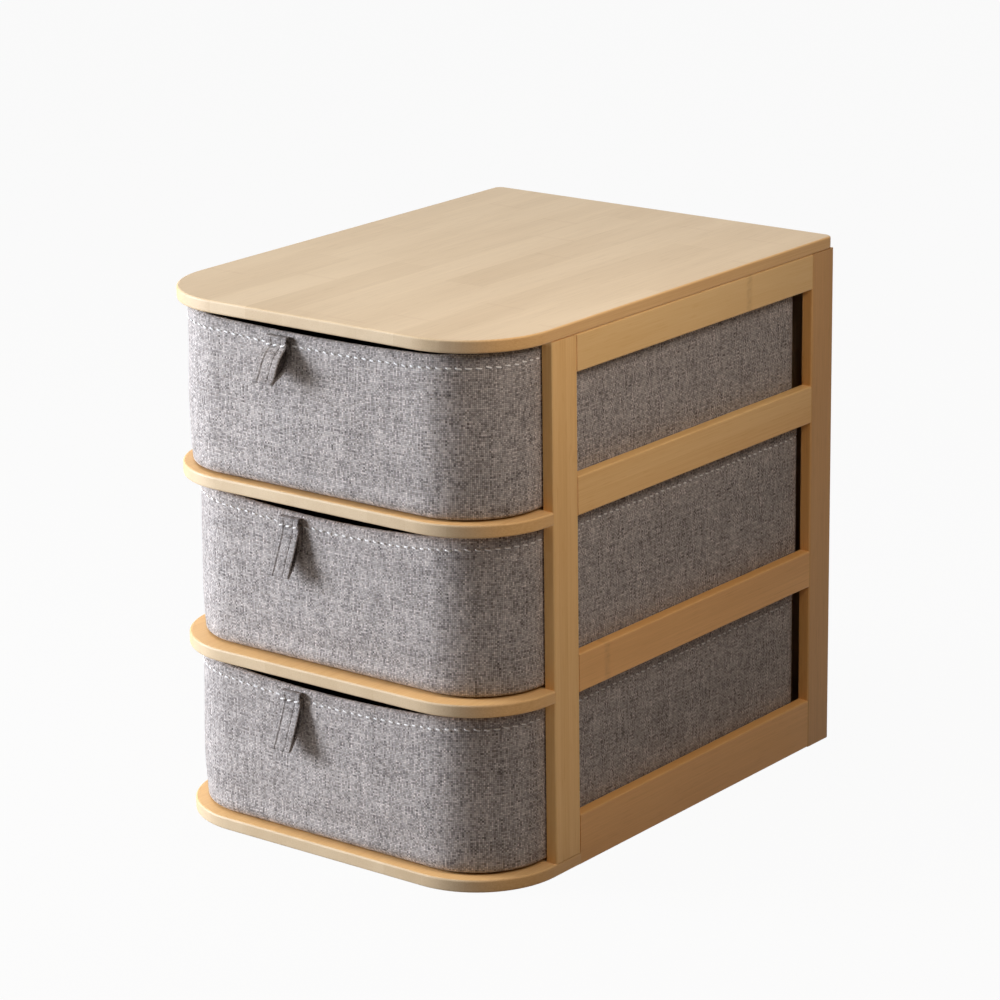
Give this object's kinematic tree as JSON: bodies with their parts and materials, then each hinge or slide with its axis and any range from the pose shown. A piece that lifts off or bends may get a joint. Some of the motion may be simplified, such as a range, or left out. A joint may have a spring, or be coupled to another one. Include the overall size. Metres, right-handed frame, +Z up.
{
  "type": "desktop drawer organizer",
  "caption": "Bamboo desktop organizer with round-cornered boards, open post-and-rail sides and pull-out fabric-covered drawers with folded strap tabs.",
  "frame": {"origin": "on the standing surface, midway between the two sides and midway between the boards' front and back edges", "axes": "+X to the right seen from the front, +Y from the front to the back, +Z up"},
  "size_m": [0.2, 0.2756, 0.252],
  "materials": {
    "bamboo": "clear-lacquered laminated bamboo, satin",
    "back_panel_wood": "thin bamboo plywood, matt",
    "dowel_wood": "fluted dowel stock, bare",
    "drawer_fabric": "heathered linen-look weave",
    "strap_fabric": "heathered linen-look weave, folded double",
    "lining_fabric": "plain non-woven lining",
    "greyboard": "rigid pressed board"
  },
  "bodies": {
    "carcass": {"top_board": "bamboo", "upper_shelf": "bamboo", "lower_shelf": "bamboo", "bottom_board": "bamboo", "back_panel": "back_panel_wood", "left_front_post": "bamboo", "right_front_post": "bamboo", "left_rear_post": "bamboo", "right_rear_post": "bamboo", "left_top_rail": "bamboo", "right_top_rail": "bamboo", "left_upper_rail": "bamboo", "right_upper_rail": "bamboo", "left_lower_rail": "bamboo", "right_lower_rail": "bamboo", "left_bottom_rail": "bamboo", "right_bottom_rail": "bamboo", "post_dowels": "dowel_wood", "rail_dowels": "dowel_wood", "shelf_dowels": "dowel_wood"},
    "top_drawer": {"top_drawer_cover": "drawer_fabric", "top_drawer_front_board": "greyboard", "top_drawer_wall_board": "greyboard", "top_drawer_base_board": "greyboard", "top_drawer_lining": "lining_fabric"},
    "top_pull_tab": {"top_drawer_pull_tab": "strap_fabric"},
    "middle_drawer": {"middle_drawer_cover": "drawer_fabric", "middle_drawer_front_board": "greyboard", "middle_drawer_wall_board": "greyboard", "middle_drawer_base_board": "greyboard", "middle_drawer_lining": "lining_fabric"},
    "middle_pull_tab": {"middle_drawer_pull_tab": "strap_fabric"},
    "bottom_drawer": {"bottom_drawer_cover": "drawer_fabric", "bottom_drawer_front_board": "greyboard", "bottom_drawer_wall_board": "greyboard", "bottom_drawer_base_board": "greyboard", "bottom_drawer_lining": "lining_fabric"},
    "bottom_pull_tab": {"bottom_drawer_pull_tab": "strap_fabric"}
  },
  "joints": [
    {"name": "top_drawer_slide", "type": "slide", "parent": "carcass", "child": "top_drawer", "axis": [0, -1, 0], "range_m": [-0.0115, 0.262]},
    {"name": "top_tab_flex", "type": "hinge", "parent": "top_drawer", "child": "top_pull_tab", "pos_m": [-0.0192, -0.1308, 0.23904], "axis": [-1, 0, 0], "range_deg": [-1, 55], "stiffness_Nm_per_rad": 0.002},
    {"name": "middle_drawer_slide", "type": "slide", "parent": "carcass", "child": "middle_drawer", "axis": [0, -1, 0], "range_m": [-0.007, 0.262]},
    {"name": "middle_tab_flex", "type": "hinge", "parent": "middle_drawer", "child": "middle_pull_tab", "pos_m": [-0.0192, -0.1263, 0.1548], "axis": [-1, 0, 0], "range_deg": [-5, 60], "stiffness_Nm_per_rad": 0.002},
    {"name": "bottom_drawer_slide", "type": "slide", "parent": "carcass", "child": "bottom_drawer", "axis": [0, -1, 0], "range_m": [-0.0095, 0.262]},
    {"name": "bottom_tab_flex", "type": "hinge", "parent": "bottom_drawer", "child": "bottom_pull_tab", "pos_m": [-0.0192, -0.1288, 0.07317], "axis": [-1, 0, 0], "range_deg": [-5, 60], "stiffness_Nm_per_rad": 0.002}
  ]
}
